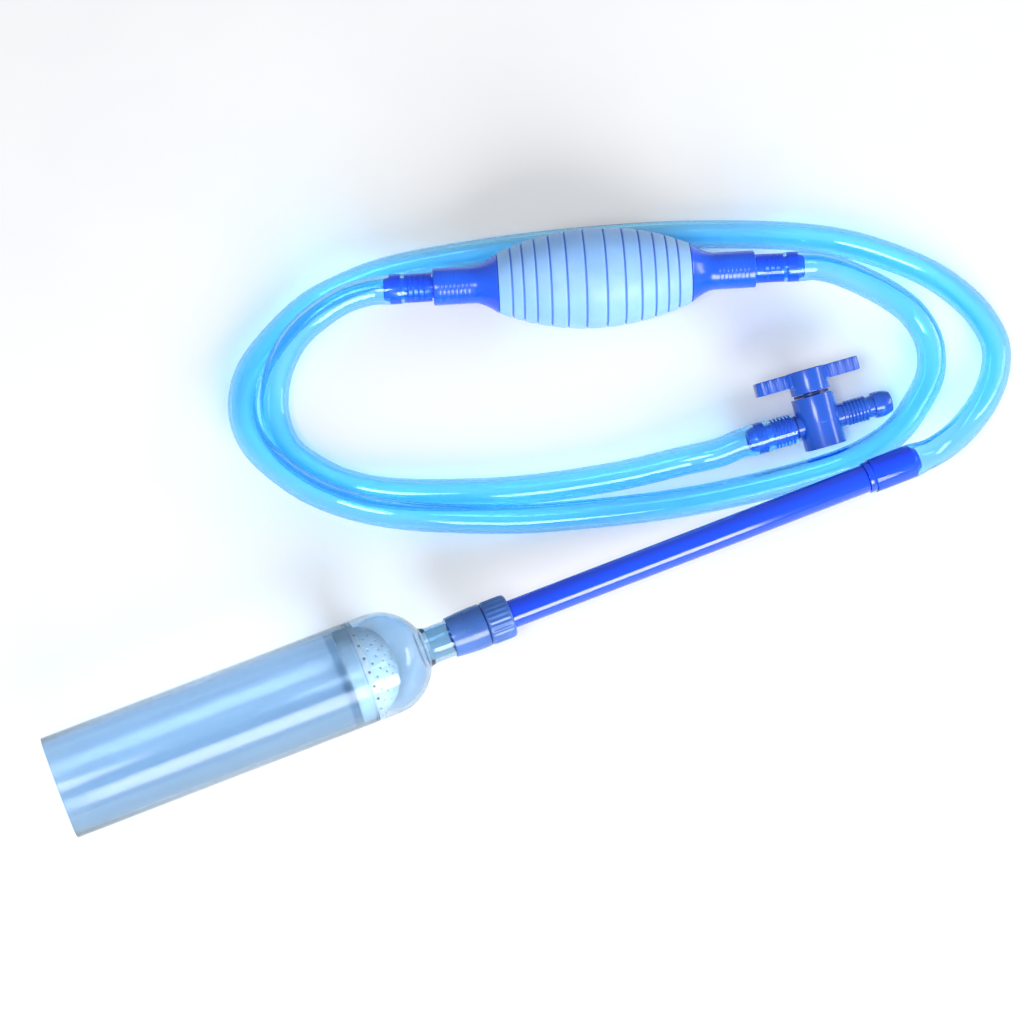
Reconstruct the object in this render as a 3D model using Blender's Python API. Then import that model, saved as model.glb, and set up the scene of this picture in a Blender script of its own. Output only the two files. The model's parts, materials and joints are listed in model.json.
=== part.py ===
"""Gravel vacuum siphon laid on a table: gravel tube, dome, coupling, rod, hoses, squeeze bulb and valve.

Frame: metres, +X along the wand from the gravel tube's mouth to the rod's hose end, +Z up.
Lengths below are in millimetres and are scaled by MM.
"""
import math

import bmesh
import bpy
from mathutils import Matrix, Vector

MM = 0.001

# Where the four rigid groups lie
MOUTH_X = -247.5
WAND_Y = -91.4
WAND_Z = 27.6
BULB_AT = (123.0, 74.9, 28.0)
BULB_AZ = -18.6
TAP_AT = (205.7, -47.2, 16.7)
TAP_AZ = -5.0
TAP_LEAN = 68.0

# Wand, x measured from the mouth
TUBE_R = 27.5
WALL = 1.8
TUBE_L = 166.3
SEAL_L = 0.9
DOME_X = 167.8
SHOULDER_X = 179.5
SHOULDER_L = 26.0
NECK_R = 9.8
NECK_X = 207.5
NECK_END = 231.0
BODY_X = 218.3
BODY_END = 237.7
NUT_X = 238.2
NUT_END = 252.2
ROD_X = 240.0
ROD_R = 7.65
ROD_WALL = 1.9
ROD_END = 459.3
FLANGE_END = 463.0
SPIGOT_END = 490.1
SPIGOT_R = 7.6

# Hoses: 12 mm bore, 16 mm outside
HOSE_R = 8.0
GAP = 0.3
STRAIGHT = 5.0

# Bulb, u measured outward from its middle
BULB_R = 27.7
BULB_END_R = 16.6
BULB_HALF = 53.25
GROOVES = (5.7, 15.9, 24.8, 32.7, 39.8, 46.1)
CAP_R = 10.3
CONE_END = 66.6
CAP_END = 89.4
BARB_TIP = 116.9

# Valve, w measured up the barrel from its foot, u along the flow
BARREL_R = 11.65
BARREL_H = 29.0
PORT_W = 14.5
BOSS_U = 13.2
TAP_TIP = 41.4
HANDLE_HALF = 29.4

LONG_ROUTE = (
    (255.3, -89.9, 25.3), (269.1, -84.7, 19.0), (283.3, -77.0, 12.7), (298.3, -66.6, 9.2),
    (310.8, -53.5, 8.3), (318.2, -38.4, 8.3), (318.2, -20.9, 8.3), (313.5, -4.6, 8.3),
    (303.7, 13.6, 8.3), (290.3, 29.5, 8.3), (268.9, 48.7, 8.3), (245.0, 63.5, 8.3),
    (193.3, 86.4, 8.3), (139.7, 104.8, 8.3), (81.5, 120.5, 8.3), (21.7, 131.7, 8.3),
    (-6.1, 131.5, 8.3), (-30.0, 127.1, 8.3), (-67.9, 105.9, 8.8), (-80.0, 90.2, 11.2),
    (-85.6, 73.2, 13.8), (-84.7, 54.7, 16.2), (-77.1, 36.5, 17.4), (-66.6, 20.0, 17.6),
    (-49.7, 3.6, 17.0), (-26.7, -11.3, 15.3), (24.9, -33.1, 10.4), (55.9, -43.1, 8.7),
    (123.1, -60.9, 8.3), (193.4, -71.0, 8.3), (220.6, -71.2, 8.3), (244.2, -65.9, 8.3),
    (261.8, -55.1, 8.3), (277.5, -40.5, 8.5), (284.1, -23.7, 10.5), (281.4, -7.2, 15.5),
    (273.2, 5.1, 20.5), (263.0, 16.2, 24.3), (249.5, 28.9, 27.2),
)
SHORT_ROUTE = (
    (-0.3, 115.0, 27.8), (-9.0, 115.6, 27.0), (-24.1, 113.2, 25.0), (-42.2, 106.4, 22.0),
    (-56.5, 94.5, 17.5), (-64.8, 81.9, 12.2), (-68.9, 67.8, 9.0), (-68.4, 51.4, 8.3),
    (-60.7, 36.0, 8.3), (-47.3, 20.3, 8.3), (-28.5, 7.0, 8.3), (19.0, -13.0, 8.3),
    (45.2, -21.3, 8.3), (72.0, -28.1, 8.4), (99.1, -33.9, 9.3), (126.7, -38.8, 12.2),
    (148.1, -43.2, 15.6),
)


def wipe():
    for obj in list(bpy.data.objects):
        bpy.data.objects.remove(obj)


def paint(obj, colour, rough, metal=0.0):
    mat = bpy.data.materials.new(obj.name)
    mat.use_nodes = True
    shader = mat.node_tree.nodes["Principled BSDF"]
    shader.inputs["Base Color"].default_value = (*colour, 1.0)
    shader.inputs["Roughness"].default_value = rough
    shader.inputs["Metallic"].default_value = metal
    obj.data.materials.clear()
    obj.data.materials.append(mat)


def frame(origin, az, up_lean=0.0):
    """Axes of a rigid group: x along azimuth az, z leaning back from vertical by up_lean."""
    turn = Matrix.Rotation(math.radians(az), 4, "Z") @ Matrix.Rotation(math.radians(-up_lean), 4, "X")
    return Matrix.Translation(Vector(origin) * MM) @ turn


WAND = frame((MOUTH_X, WAND_Y, WAND_Z), 0.0)
BULB = frame(BULB_AT, BULB_AZ)
OUTLET = BULB @ Matrix.Rotation(math.pi, 4, "Z")
TAP = frame(TAP_AT, TAP_AZ, TAP_LEAN)
TAP_BACK = TAP @ Matrix.Rotation(math.pi, 4, "Z")
TAP_FOOT = TAP @ Matrix.Translation((0.0, 0.0, -PORT_W * MM))


def link(name, verts, faces, place):
    """Object whose origin is the group's own origin, facing outward."""
    mesh = bpy.data.meshes.new(name)
    mesh.from_pydata([Vector(v) * MM for v in verts], [], faces)
    bm = bmesh.new()
    bm.from_mesh(mesh)
    bmesh.ops.recalc_face_normals(bm, faces=bm.faces)
    if bm.calc_volume(signed=True) < 0:
        bmesh.ops.reverse_faces(bm, faces=bm.faces)
    bm.to_mesh(mesh)
    bm.free()
    obj = bpy.data.objects.new(name, mesh)
    bpy.context.scene.collection.objects.link(obj)
    obj.matrix_world = place
    return obj


def turned(name, profile, n, place, ripple=None):
    """Solid of revolution about local x. The profile is a closed loop of (x, r); r 0 lies on the axis."""
    verts, rings = [], []
    for i, (x, r) in enumerate(profile):
        if r < 1e-6:
            rings.append([len(verts)] * n)
            verts.append((x, 0.0, 0.0))
            continue
        rings.append(list(range(len(verts), len(verts) + n)))
        for k in range(n):
            a = 2 * math.pi * k / n
            rr = r + (ripple(i, k) if ripple else 0.0)
            verts.append((x, rr * math.cos(a), rr * math.sin(a)))
    faces = []
    for i in range(len(profile)):
        a, b = rings[i], rings[(i + 1) % len(profile)]
        if a[0] == a[1] and b[0] == b[1]:
            continue
        for k in range(n):
            m = (k + 1) % n
            quad = [a[k], b[k], b[m], a[m]]
            faces.append([v for j, v in enumerate(quad) if v not in quad[:j]])
    return link(name, verts, faces, place)


def upright(name, profile, n, place):
    """Solid of revolution about local z; the profile holds (z, r)."""
    return turned(name, profile, n, place @ Matrix.Rotation(-math.pi / 2, 4, "Y"))


def prism(name, outline, z0, z1, place):
    n = len(outline)
    verts = [(x, y, z0) for x, y in outline] + [(x, y, z1) for x, y in outline]
    faces = [list(range(n - 1, -1, -1)), list(range(n, 2 * n))]
    faces += [[k, (k + 1) % n, n + (k + 1) % n, n + k] for k in range(n)]
    return link(name, verts, faces, place)


def combine(obj, others, operation):
    """Boolean of obj with each helper, made real; the helpers are removed."""
    for other in others:
        mod = obj.modifiers.new(operation, "BOOLEAN")
        mod.object = other
        mod.operation = operation
        mod.solver = "EXACT"
    bpy.context.view_layer.update()
    graph = bpy.context.evaluated_depsgraph_get()
    mesh = bpy.data.meshes.new_from_object(obj.evaluated_get(graph))
    obj.modifiers.clear()
    obj.data = mesh
    for other in others:
        bpy.data.objects.remove(other)
    bm = bmesh.new()
    bm.from_mesh(mesh)
    bmesh.ops.remove_doubles(bm, verts=bm.verts, dist=1e-6)
    bmesh.ops.dissolve_degenerate(bm, edges=bm.edges, dist=1e-6)
    bmesh.ops.triangulate(bm, faces=bm.faces)
    bm.to_mesh(mesh)
    bm.free()
    return obj


def arc(x0, r0, dx, dr, n, start=0.0, end=90.0):
    """Quarter-ellipse points from (x0, r0 + dr) round to (x0 + dx, r0)."""
    angles = [math.radians(start + (end - start) * k / n) for k in range(n + 1)]
    return [(x0 + dx * math.sin(a), r0 + dr * math.cos(a)) for a in angles]


def smooth(points, step):
    """Even points along a curve through the route; the first and last points only set the end directions."""
    q = [Vector(p) for p in points]
    fine = []
    for i in range(1, len(q) - 2):
        p0, p1, p2, p3 = q[i - 1:i + 3]
        k0, k1, k2 = (math.sqrt((b - a).length) for a, b in ((p0, p1), (p1, p2), (p2, p3)))
        m1 = ((p1 - p0) / k0 - (p2 - p0) / (k0 + k1) + (p2 - p1) / k1) * k1
        m2 = ((p2 - p1) / k1 - (p3 - p1) / (k1 + k2) + (p3 - p2) / k2) * k1
        for s in range(16):
            t = s / 16
            a, b = 2 * t ** 3 - 3 * t * t + 1, t ** 3 - 2 * t * t + t
            c, d = 3 * t * t - 2 * t ** 3, t ** 3 - t * t
            fine.append(a * p1 + b * m1 + c * p2 + d * m2)
    fine.append(q[-2])
    dist = [0.0]
    for a, b in zip(fine, fine[1:]):
        dist.append(dist[-1] + (b - a).length)
    count = round(dist[-1] / step)
    out, j = [], 0
    for k in range(count + 1):
        want = dist[-1] * k / count
        while j < len(fine) - 2 and dist[j + 1] < want:
            j += 1
        t = (want - dist[j]) / (dist[j + 1] - dist[j])
        out.append(fine[j].lerp(fine[j + 1], min(max(t, 0.0), 1.0)))
    return out


def hose(name, start, end, route, colour):
    """Full-length hose between two barb tips; start and end are the barbs' (tip, outward direction)."""
    (p0, d0), (p1, d1) = start, end
    inner = [Vector(p) for p in route]
    a, b = p0 + d0 * STRAIGHT, p1 + d1 * STRAIGHT
    before = a - d0 * (inner[0] - a).length
    after = b - d1 * (inner[-1] - b).length
    middle = smooth([before, a] + inner + [b, after], 19.0)
    points = [p0 + d0 * GAP] + middle + [p1 + d1 * GAP]
    curve = bpy.data.curves.new(name, "CURVE")
    curve.dimensions = "3D"
    curve.bevel_depth = HOSE_R * MM
    curve.bevel_resolution = 2
    curve.use_fill_caps = True
    line = curve.splines.new("POLY")
    line.points.add(len(points) - 1)
    for spot, p in zip(line.points, points):
        spot.co = (*(p * MM), 1.0)
    obj = bpy.data.objects.new(name, curve)
    bpy.context.scene.collection.objects.link(obj)
    paint(obj, colour, 0.15)
    return obj


def tip_of(place, u):
    """(tip point in mm, outward direction) of a barb that points along +u of its group."""
    return (place @ Vector((u * MM, 0.0, 0.0))) / MM, (place.to_3x3() @ Vector((1.0, 0.0, 0.0))).normalized()


CLEAR = (0.62, 0.80, 0.92)
CYAN = (0.25, 0.75, 0.98)
ROYAL = (0.01, 0.08, 0.85)
CAP_BLUE = (0.03, 0.13, 0.85)
SLATE = (0.08, 0.18, 0.52)
TAP_BLUE = (0.02, 0.10, 0.75)


def gravel_tube():
    r, i = TUBE_R, TUBE_R - WALL
    loop = [(0.0, i + 0.5), (0.0, r - 0.3), (0.3, r), (TUBE_L, r), (TUBE_L, i), (0.5, i)]
    paint(turned("gravel_tube", loop, 56, WAND), CLEAR, 0.05)


def seal_ring():
    loop = [(TUBE_L + GAP, TUBE_R - 0.1), (TUBE_L + GAP + SEAL_L, TUBE_R - 0.1)]
    loop += [(TUBE_L + GAP + SEAL_L, TUBE_R - WALL), (TUBE_L + GAP, TUBE_R - WALL)]
    paint(turned("tube_seal_ring", loop, 56, WAND), (0.12, 0.20, 0.32), 0.5)


def dome():
    fit = TUBE_R - WALL - 0.25
    outer = [(154.5, fit - 0.5), (155.0, fit), (DOME_X, fit), (DOME_X, TUBE_R)]
    outer += arc(SHOULDER_X, 0.0, SHOULDER_L, TUBE_R, 9, 0.0, 66.0)
    outer += [(204.6, 10.5), (NECK_X, NECK_R), (NECK_END, NECK_R)]
    inner = [(NECK_END, NECK_R - WALL), (205.5, NECK_R - WALL)]
    inner += list(reversed(arc(SHOULDER_X, 0.0, SHOULDER_L - WALL, TUBE_R - WALL, 6, 8.0, 66.0)))
    inner += [(SHOULDER_X, TUBE_R - WALL - 0.3), (170.5, fit - WALL), (154.5, fit - WALL)]
    paint(turned("dome_cap", outer + inner, 48, WAND), CLEAR, 0.05)


def strainer():
    """Domed guard with rings of slots, bulging toward the outlet; its rim sits inside the dome's sleeve."""
    n, rim, bulge, thick = 50, TUBE_R - 2 * WALL - 0.55, 20.0, 1.3
    x0 = 166.0
    steps = (0.0, 18.0, 32.0, 40.0, 54.0, 62.0, 76.0, 90.0)
    open_bands = (1, 3, 5)
    radii = [rim * math.cos(math.radians(a)) for a in steps]
    xs = [x0 + bulge * math.sin(math.radians(a)) for a in steps]
    verts, outer, inner = [], [], []
    for x, r in zip(xs, radii):
        for side, rows in ((0.0, outer), (thick, inner)):
            if r < 0.1:
                rows.append([len(verts)] * n)
                verts.append((x - side, 0.0, 0.0))
                continue
            rows.append(list(range(len(verts), len(verts) + n)))
            shrink = side * 0.75
            for k in range(n):
                a = 2 * math.pi * k / n
                rr = r - shrink * r / rim
                verts.append((x - side * (0.25 + 0.75 * (1 - r / rim)), rr * math.cos(a), rr * math.sin(a)))

    def is_open(i, k):
        return i in open_bands and k % 5 not in (0, 1)

    faces = []

    def add(*quad):
        quad = list(quad)
        quad = [v for j, v in enumerate(quad) if v not in quad[:j]]
        if len(quad) > 2:
            faces.append(quad)

    for i in range(len(steps) - 1):
        for k in range(n):
            m = (k + 1) % n
            if is_open(i, k):
                if not is_open(i, (k - 1) % n):
                    add(outer[i][k], inner[i][k], inner[i + 1][k], outer[i + 1][k])
                if not is_open(i, m):
                    add(outer[i + 1][m], inner[i + 1][m], inner[i][m], outer[i][m])
                add(outer[i][m], inner[i][m], inner[i][k], outer[i][k])
                add(outer[i + 1][k], inner[i + 1][k], inner[i + 1][m], outer[i + 1][m])
                continue
            add(outer[i][k], outer[i][m], outer[i + 1][m], outer[i + 1][k])
            add(inner[i + 1][k], inner[i + 1][m], inner[i][m], inner[i][k])
    base = len(verts)
    for r in (rim, rim - 1.8):
        for k in range(n):
            a = 2 * math.pi * k / n
            verts.append((x0 - 7.0, r * math.cos(a), r * math.sin(a)))
    for k in range(n):
        m = (k + 1) % n
        add(base + k, base + m, outer[0][m], outer[0][k])
        add(base + n + m, base + n + k, inner[0][k], inner[0][m])
        add(base + m, base + k, base + n + k, base + n + m)
    paint(link("strainer_guard", verts, faces, WAND), (0.86, 0.90, 0.95), 0.4)


def coupling():
    socket = NECK_R + 0.25
    body = [(BODY_X, socket), (BODY_X, 10.9), (BODY_X + 0.7, 11.3), (230.0, 11.8), (BODY_END - 0.5, 11.6)]
    body += [(BODY_END, 11.2), (BODY_END, 8.9), (248.0, 8.9), (248.0, ROD_R + 0.25)]
    body += [(ROD_X - 0.4, ROD_R + 0.25), (ROD_X - 0.4, 5.6), (NECK_END + 3.2, 5.6), (NECK_END + 3.2, socket)]
    paint(turned("coupling_body", body, 36, WAND), SLATE, 0.35)
    ring = [(NECK_END + 0.5, 6.2), (NECK_END + 0.5, 9.6), (NECK_END + 2.8, 9.6), (NECK_END + 2.8, 6.2)]
    paint(turned("coupling_o_ring", ring, 28, WAND), (0.05, 0.05, 0.06), 0.6)
    slip = [(248.4, ROD_R + 0.25), (248.4, 8.8), (249.4, 8.8), (249.4, ROD_R + 0.25)]
    paint(turned("coupling_slip_ring", slip, 28, WAND), (0.80, 0.82, 0.86), 0.4)
    nut = [(NUT_X, 9.3), (NUT_X, 11.0), (NUT_X + 0.8, 11.6), (NUT_END - 0.9, 11.6), (NUT_END, 10.8)]
    nut += [(NUT_END, ROD_R + 0.3), (249.9, ROD_R + 0.3), (249.9, 9.3)]

    def ribs(i, k):
        return (0.25 if k % 2 else -0.12) if i in (2, 3) else 0.0

    paint(turned("coupling_nut", nut, 60, WAND, ribs), SLATE, 0.35)


def rod():
    inside = ROD_R - ROD_WALL
    loop = [(ROD_X, inside), (ROD_X, ROD_R - 0.3), (ROD_X + 0.3, ROD_R), (ROD_END, ROD_R), (ROD_END, inside)]
    paint(turned("wand_rod", loop, 36, WAND), ROYAL, 0.15)
    end = [(447.0, inside - 0.25), (ROD_END + GAP, inside - 0.25), (ROD_END + GAP, 8.2), (ROD_END + 0.8, 8.6)]
    end += [(FLANGE_END - 0.6, 8.6), (FLANGE_END, 8.2), (FLANGE_END, SPIGOT_R - 0.2)]
    for k in range(3):
        x = FLANGE_END + 6.0 + 6.0 * k
        end += [(x, SPIGOT_R), (x + 0.8, SPIGOT_R - 0.3)]
    end += [(SPIGOT_END - 3.0, SPIGOT_R - 0.1), (SPIGOT_END, 5.9), (SPIGOT_END, 4.2), (447.0, 4.2)]
    paint(turned("rod_hose_spigot", end, 24, WAND), ROYAL, 0.15)


def cuff(name, place, ends, stations):
    """Stretch of hose gripping a barb, from its cut end to the barb's tip."""
    start, stop = ends
    outer = [(start, stations[0][1] + 1.35)] + [(u, r + 1.35) for u, r in stations[1:-1]] + [(stop, HOSE_R)]
    inner = [(u, r) for u, r in reversed(stations)]
    paint(turned(name, outer + inner, 24, place), CYAN, 0.15)


def cuffs():
    cuff("hose_long_rod_cuff", WAND, (FLANGE_END + GAP, SPIGOT_END),
         ((FLANGE_END + GAP, 7.9), (SPIGOT_END - 2.6, 7.9), (SPIGOT_END, 6.3)))
    for name, place in (("hose_long_bulb_cuff", BULB), ("hose_short_bulb_cuff", OUTLET)):
        cuff(name, place, (CAP_END + 0.6, BARB_TIP),
             ((CAP_END + 0.6, 6.6), (106.3, 6.6), (107.3, 7.2), (114.4, 7.2), (BARB_TIP, 6.3)))
    cuff("hose_short_valve_cuff", TAP_BACK, (15.0, TAP_TIP),
         ((15.0, 7.2), (28.6, 7.2), (31.0, 7.5), (38.0, 7.5), (TAP_TIP, 6.3)))


def bulb_radius(u):
    """Crest radius of the bulb at distance u from its middle: a circular arc."""
    drop = BULB_R - BULB_END_R
    big = (BULB_HALF ** 2 + drop ** 2) / (2 * drop)
    return BULB_R - big + math.sqrt(big ** 2 - u ** 2)


def bulb():
    edges = [-BULB_HALF] + [-g for g in reversed(GROOVES)] + list(GROOVES) + [BULB_HALF]
    outer = []
    for i, (a, b) in enumerate(zip(edges, edges[1:])):
        lo, hi = a + (0.55 if i else 0.0), b - (0.55 if i < len(edges) - 2 else 0.0)
        outer += [(lo, bulb_radius(lo)), (hi, bulb_radius(hi))]
        if i < len(edges) - 2:
            outer.append((b, bulb_radius(b) - 1.3))
    neck_r, neck_end, bore = 12.0, 58.8, 9.6
    outer += [(BULB_HALF, neck_r), (neck_end, neck_r)]
    inner = [(neck_end, bore)]
    inner += [(u, bulb_radius(u) - 3.3) for u in (50.0, 38.0, 25.0, 12.0, 0.0)]
    inner += [(-u, bulb_radius(u) - 3.3) for u in (12.0, 25.0, 38.0, 50.0)]
    inner += [(-neck_end, bore), (-neck_end, neck_r), (-BULB_HALF, neck_r)]
    shell = turned("bulb_shell", outer + inner, 36, BULB)
    paint(shell, (0.36, 0.60, 0.95), 0.45)


def bulb_ends():
    for side, place in (("inlet", BULB), ("outlet", OUTLET)):
        front = BULB_HALF + GAP
        cap = [(front, 12.3), (front, BULB_END_R + 0.1), (CONE_END, CAP_R), (CAP_END - 1.5, CAP_R)]
        cap += [(CAP_END, CAP_R - 1.2), (CAP_END, 8.35), (64.5, 8.35), (64.5, 4.4), (62.5, 4.4), (59.2, 8.4)]
        cap += [(59.2, 12.3)]
        paint(turned("bulb_" + side + "_cap", cap, 32, place), CAP_BLUE, 0.25)
        barb = [(71.0, 4.2), (71.0, 8.1)]
        for k in range(4):
            barb += [(75.0 + 3.2 * k, 8.1), (76.2 + 3.2 * k, 7.5)]
        barb += [(CAP_END, 8.1), (CAP_END, 6.0)]
        for k in range(4):
            barb += [(94.0 + 3.0 * k, 6.35), (94.8 + 3.0 * k, 6.0)]
        barb += [(106.9, 6.0), (107.4, 6.95), (113.5, 6.95), (BARB_TIP, 5.9), (BARB_TIP, 4.2)]
        paint(turned("bulb_" + side + "_barb", barb, 20, place), CAP_BLUE, 0.25)
        seat = 64.8 if side == "outlet" else 69.5
        ring = [(seat, 4.6), (seat, 8.05), (seat + 1.2, 8.05), (seat + 1.2, 4.6)]
        paint(turned("bulb_" + side + "_seat", ring, 24, place), (0.08, 0.08, 0.09), 0.6)
        way = 1.0 if side == "outlet" else -1.0
        rest = 66.3 if side == "outlet" else 69.2
        on_axis = place @ Matrix.Translation((rest * MM, 0.0, 0.0))
        disc = turned("bulb_" + side + "_valve_disc", [(0.0, 0.0), (0.0, 6.1), (way * 1.2, 6.1), (way * 1.2, 0.0)],
                      24, on_axis)
        feet = []
        for k in range(3):
            a = 2 * math.pi * k / 3
            spot = on_axis @ Matrix.Translation((0.0, 4.9 * MM * math.cos(a), 4.9 * MM * math.sin(a)))
            foot = [(way * 0.6, 0.0), (way * 0.6, 0.8), (way * 2.1, 0.8), (way * 2.1, 0.0)]
            feet.append(turned("foot", foot, 8, spot))
        paint(combine(disc, feet, "UNION"), (0.85, 0.88, 0.90), 0.4)


def tap_barb(name, place):
    """Threaded-looking hose barb pressed into one side of the valve body."""
    loop = [(9.0, 3.4), (9.0, 4.9), (BOSS_U + 0.3, 4.9), (BOSS_U + 0.3, 6.3), (15.4, 6.3)]
    for k in range(6):
        u = 15.9 + 2.0 * k
        loop += [(u, 6.9), (u + 1.4, 6.4)]
    loop += [(28.2, 5.9), (31.0, 5.9), (31.4, 7.2), (37.0, 7.1), (TAP_TIP - 0.6, 6.2), (TAP_TIP, 5.6), (TAP_TIP, 3.4)]
    paint(turned(name, loop, 22, place), TAP_BLUE, 0.2)


def tap():
    foot = TAP_FOOT
    barrel = [(0.0, 0.0), (0.0, BARREL_R - 0.5), (0.5, BARREL_R), (13.6, BARREL_R), (13.7, BARREL_R + 0.2)]
    barrel += [(BARREL_H, BARREL_R + 0.2), (BARREL_H, 0.0)]
    body = upright("tap_body", barrel, 40, foot)
    side = turned("side", [(-BOSS_U, 0.0), (-BOSS_U, 6.5), (BOSS_U, 6.5), (BOSS_U, 0.0)], 28, TAP)
    combine(body, [side], "UNION")
    well = upright("well", [(2.0, 0.0), (2.0, 8.2), (BARREL_H + 1.0, 8.2), (BARREL_H + 1.0, 0.0)], 32, foot)
    cross = turned("cross", [(-14.0, 0.0), (-14.0, 5.15), (14.0, 5.15), (14.0, 0.0)], 28, TAP)
    combine(body, [well, cross], "DIFFERENCE")
    paint(body, TAP_BLUE, 0.2)
    tap_barb("tap_inlet_barb", TAP_BACK)
    tap_barb("tap_outlet_barb", TAP)

    plug_loop = [(2.3, 0.0), (2.3, 7.95), (4.2, 7.95), (4.2, 6.5), (6.0, 6.5), (6.0, 7.95)]
    plug_loop += [(22.6, 7.95), (22.6, 6.5), (24.4, 6.5), (24.4, 7.95), (28.6, 7.95), (28.6, 4.5), (36.5, 4.5)]
    plug_loop += [(37.0, 4.0), (37.0, 0.0)]
    plug = upright("tap_plug", plug_loop, 32, foot)
    port = turned("port", [(-9.0, 0.0), (-9.0, 3.4), (9.0, 3.4), (9.0, 0.0)], 20, TAP)
    key = prism("key", [(-5.0, 3.4), (5.0, 3.4), (5.0, 6.0), (-5.0, 6.0)], 30.9, 38.0, foot)
    combine(plug, [port, key], "DIFFERENCE")
    paint(plug, (0.03, 0.10, 0.62), 0.3)
    for name, mid in (("tap_lower_o_ring", 5.1), ("tap_upper_o_ring", 23.5)):
        loop = [(mid + 0.7 * math.cos(a), 7.38 + 0.7 * math.sin(a)) for a in (math.pi * k / 3 for k in range(6))]
        paint(upright(name, loop, 28, foot), (0.05, 0.05, 0.06), 0.6)
    loop = [(BARREL_H + GAP, 4.9), (BARREL_H + GAP, 9.8), (BARREL_H + 1.8, 9.8), (BARREL_H + 1.8, 4.9)]
    paint(upright("tap_retainer_ring", loop, 32, foot), (0.02, 0.05, 0.30), 0.4)


def wing_outline():
    """Plan of the T-handle's wings: fluted edges and rounded ends."""
    side = []
    steps = 40
    for k in range(steps + 1):
        u = -HANDLE_HALF + 2 * HANDLE_HALF * k / steps
        flute = 0.45 * math.cos(2 * math.pi * (abs(u) - 27.0) / 4.6)
        half = 4.9 + (flute if abs(u) > 11.0 else 0.45)
        tip = HANDLE_HALF - abs(u)
        if tip < 2.0:
            half = min(half, 3.4 + 0.75 * tip)
        side.append((u, half))
    return [(u, -h) for u, h in side] + [(u, h) for u, h in reversed(side)]


def handle():
    foot = TAP_FOOT
    hub_loop = [(31.1, 0.0), (31.1, 10.4), (31.5, 10.85), (43.5, 10.85), (43.9, 10.4), (43.9, 0.0)]
    obj = upright("tap_handle", hub_loop, 44, foot)
    wings = prism("wings", wing_outline(), 36.0, 43.6, foot)
    combine(obj, [wings], "UNION")
    bore = [(4.8 * math.cos(a), 4.8 * math.sin(a)) for a in (math.pi * (k + 0.5) / 18 for k in range(36))]
    bore = [(x, min(y, 3.65)) for x, y in bore]
    socket = prism("socket", bore, 30.0, 37.4, foot)
    combine(obj, [socket], "DIFFERENCE")
    paint(obj, TAP_BLUE, 0.2)


def hoses():
    hose("hose_long", tip_of(WAND, SPIGOT_END), tip_of(BULB, BARB_TIP), LONG_ROUTE, CYAN)
    hose("hose_short", tip_of(OUTLET, BARB_TIP), tip_of(TAP_BACK, TAP_TIP), SHORT_ROUTE, CYAN)


wipe()
gravel_tube()
seal_ring()
dome()
strainer()
coupling()
rod()
cuffs()
bulb()
bulb_ends()
tap()
handle()
hoses()
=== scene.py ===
import json
import math

import bmesh
import bpy
from mathutils import Matrix, Vector


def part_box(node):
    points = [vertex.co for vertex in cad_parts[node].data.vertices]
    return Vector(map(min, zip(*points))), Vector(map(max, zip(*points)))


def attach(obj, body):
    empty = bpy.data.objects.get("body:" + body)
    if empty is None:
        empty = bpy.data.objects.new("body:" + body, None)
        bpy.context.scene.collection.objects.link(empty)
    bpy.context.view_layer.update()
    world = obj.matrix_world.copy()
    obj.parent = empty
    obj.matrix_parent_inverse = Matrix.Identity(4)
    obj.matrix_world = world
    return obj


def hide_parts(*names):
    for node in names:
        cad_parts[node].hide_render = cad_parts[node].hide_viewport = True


# Looks of a gravel vacuum siphon laid on a table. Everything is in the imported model's frame, in metres.
# Profiles and outlines are in millimetres along their own group's axes, and are scaled by MM.

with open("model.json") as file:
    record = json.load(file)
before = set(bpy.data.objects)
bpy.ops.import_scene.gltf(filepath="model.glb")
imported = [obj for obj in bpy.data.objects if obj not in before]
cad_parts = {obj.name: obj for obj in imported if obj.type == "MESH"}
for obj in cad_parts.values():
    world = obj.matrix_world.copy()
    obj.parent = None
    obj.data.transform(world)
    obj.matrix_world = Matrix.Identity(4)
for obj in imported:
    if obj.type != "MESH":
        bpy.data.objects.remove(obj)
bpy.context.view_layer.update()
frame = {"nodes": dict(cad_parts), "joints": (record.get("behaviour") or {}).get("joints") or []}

MM = 0.001
JOINTS = {joint["name"]: joint for joint in frame["joints"]}


def middle(node):
    low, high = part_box(node)
    return (low + high) / 2


def group(origin, x, z):
    """Axes of a rigid group at origin: local x along x, and local z along z."""
    x, z = Vector(x).normalized(), Vector(z).normalized()
    turn = Matrix((x, z.cross(x), z)).transposed().to_4x4()
    return Matrix.Translation(origin) @ turn


HALF_TURN = Matrix.Rotation(math.pi, 4, "Z")
TUBE_AT = middle("gravel_tube")
WAND = group((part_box("gravel_tube")[0].x, TUBE_AT.y, TUBE_AT.z), (1, 0, 0), (0, 0, 1))
BULB = group(middle("bulb_shell"), -Vector(JOINTS["inlet_disc_lift"]["axis"]), (0, 0, 1))
OUTLET = BULB @ HALF_TURN
TAP_AXIS = Vector(JOINTS["tap_turn"]["axis"])
TAP = group(JOINTS["tap_turn"]["pos_m"], (TAP_AXIS.y, -TAP_AXIS.x, 0), TAP_AXIS)
TAP_BACK = TAP @ HALF_TURN
PORT_W = 14.5  # height in mm of the tap's ports above its foot
TAP_FOOT = TAP @ Matrix.Translation((0, 0, -PORT_W * MM))

# Clearance in mm between neighbouring pieces
GAP = 0.3

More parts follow.
